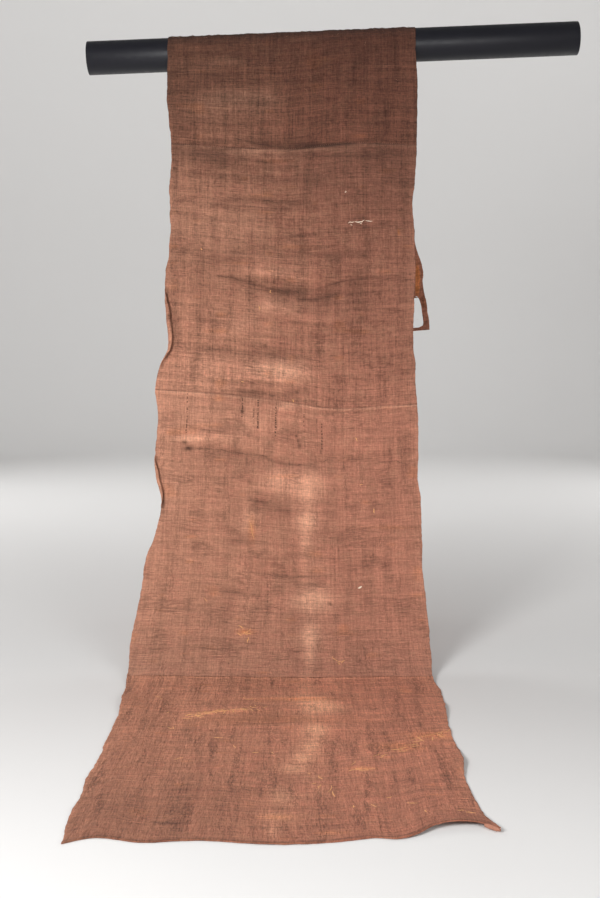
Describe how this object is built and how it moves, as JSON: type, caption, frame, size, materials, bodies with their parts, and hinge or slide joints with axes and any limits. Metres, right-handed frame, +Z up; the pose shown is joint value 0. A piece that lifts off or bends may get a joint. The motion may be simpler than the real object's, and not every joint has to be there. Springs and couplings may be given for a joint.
{
  "type": "kuba cloth over a round rod",
  "caption": "Long plain red-brown raffia cloth sewn end to end from panels, hung over a round black rod, its long end running out on the floor.",
  "frame": {"origin": "on the floor under the middle of the part", "axes": "+X along the rod towards its raised end, +Y from the front of the cloth to its back, +Z up"},
  "size_m": [1.5028, 1.9153, 1.8195],
  "materials": {
    "rod": "satin black",
    "raffia_dark": "plain woven raffia, faded brown",
    "raffia": "plain woven raffia, rubbed with red wood powder and faded",
    "raffia_coarse": "coarser plain woven raffia, red-brown"
  },
  "bodies": {
    "root": {"rod": "rod", "back_panel": "raffia_dark", "top_panel": "raffia_dark", "upper_front_panel": "raffia", "middle_front_panel": "raffia", "floor_panel": "raffia_coarse"}
  },
  "joints": []
}
